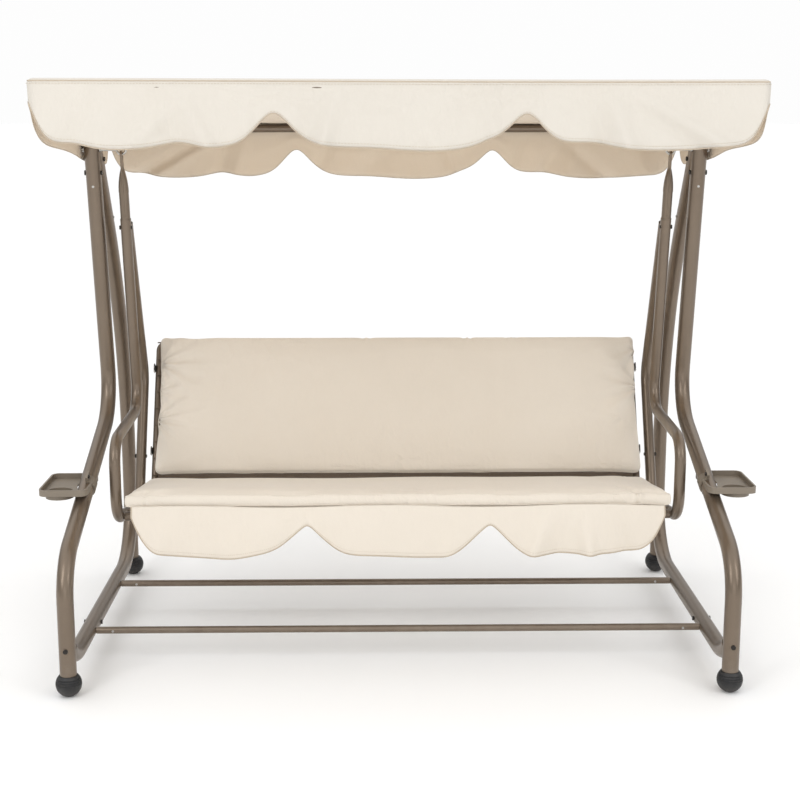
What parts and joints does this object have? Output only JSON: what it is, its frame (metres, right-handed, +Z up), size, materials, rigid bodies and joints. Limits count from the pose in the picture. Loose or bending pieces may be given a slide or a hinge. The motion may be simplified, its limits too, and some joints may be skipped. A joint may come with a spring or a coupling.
{
  "type": "canopy swing bench",
  "caption": "Wide garden swing bench on curved tube side frames, with padded seat, fold-flat back, scalloped tilting canopy and side trays.",
  "frame": {"origin": "on the ground, midway between the four feet", "axes": "+X to the right as seen from the front, +Y to the back, +Z up"},
  "size_m": [2, 1.1198, 1.6079],
  "materials": {
    "bronze_tube": "metallic powder coat",
    "bronze_rail": "metallic powder coat",
    "black_rubber": "moulded rubber",
    "zinc": "zinc plated",
    "dark_bolt": "black fixings",
    "black_plastic": "moulded",
    "taupe_plastic": "moulded, fine texture",
    "white_plastic": "moulded",
    "cream_fabric": "woven polyester",
    "canopy_fabric": "woven polyester",
    "black_webbing": "webbing"
  },
  "bodies": {
    "frame": {"apex_bolts": "dark_bolt", "apex_head_left": "bronze_tube", "apex_head_right": "bronze_tube", "ball_feet_front": "black_rubber", "ball_feet_rear": "black_rubber", "crossbar_front": "bronze_tube", "crossbar_rear": "bronze_tube", "frame_rivets": "zinc", "front_foot_piece_left": "bronze_tube", "front_foot_piece_right": "bronze_tube", "front_leg_left": "bronze_tube", "front_leg_right": "bronze_tube", "ground_bolts": "dark_bolt", "ground_tubes": "bronze_tube", "hook_nuts": "zinc", "rear_leg_left": "bronze_tube", "rear_leg_right": "bronze_tube", "swing_hooks": "zinc", "tilt_bolts": "dark_bolt", "tray_bolts": "dark_bolt", "tray_clamps": "taupe_plastic", "tray_left": "taupe_plastic", "tray_right": "taupe_plastic"},
    "swing": {"back_pivot_bolts": "dark_bolt", "hanger_bolts": "dark_bolt", "hanger_front_left": "bronze_tube", "hanger_front_right": "bronze_tube", "hanger_rear_left": "bronze_tube", "hanger_rear_right": "bronze_tube", "hanger_top_left": "bronze_tube", "hanger_top_right": "bronze_tube", "recline_discs_fixed": "zinc", "seat_cushion": "cream_fabric", "seat_front_rail": "bronze_rail", "seat_mesh": "bronze_rail", "seat_rear_rail": "bronze_rail", "seat_valance": "cream_fabric"},
    "backrest": {"back_bottom_rail": "bronze_rail", "back_cushion": "cream_fabric", "back_mesh": "bronze_rail", "back_side_tube_left": "bronze_rail", "back_side_tube_right": "bronze_rail", "back_top_rail": "bronze_rail", "cushion_straps": "black_webbing", "recline_discs_moving": "zinc", "strap_buckles": "white_plastic"},
    "canopy": {"canopy_corners": "black_plastic", "canopy_front_rail": "bronze_rail", "canopy_rear_rail": "bronze_rail", "canopy_roof": "canopy_fabric", "canopy_side_rails": "bronze_rail", "canopy_side_valance_left": "canopy_fabric", "canopy_side_valance_right": "canopy_fabric", "canopy_valance_front": "canopy_fabric", "canopy_valance_rear": "canopy_fabric", "saddle_screws": "dark_bolt", "tilt_brackets": "bronze_tube"},
    "knob_left": {"tilt_knob_left": "black_plastic"},
    "knob_right": {"tilt_knob_right": "black_plastic"}
  },
  "joints": [
    {"name": "swing_hinge", "type": "hinge", "parent": "frame", "child": "swing", "pos_m": [0, 0.095, 1.409], "axis": [1, 0, 0], "range_deg": [-15, 15]},
    {"name": "back_fold", "type": "hinge", "parent": "swing", "child": "backrest", "pos_m": [0, 0.194, 0.33622], "axis": [-1, 0, 0], "range_deg": [0, 71]},
    {"name": "canopy_tilt", "type": "hinge", "parent": "frame", "child": "canopy", "pos_m": [0, 0.097, 1.491], "axis": [1, 0, 0], "range_deg": [-8, 20]},
    {"name": "knob_left_turn", "type": "hinge", "parent": "frame", "child": "knob_left", "pos_m": [-0.869, 0.097, 1.491], "axis": [1, 0, 0], "range_deg": [0, 360]},
    {"name": "knob_right_turn", "type": "hinge", "parent": "frame", "child": "knob_right", "pos_m": [0.869, 0.097, 1.491], "axis": [-1, 0, 0], "range_deg": [0, 360]}
  ]
}
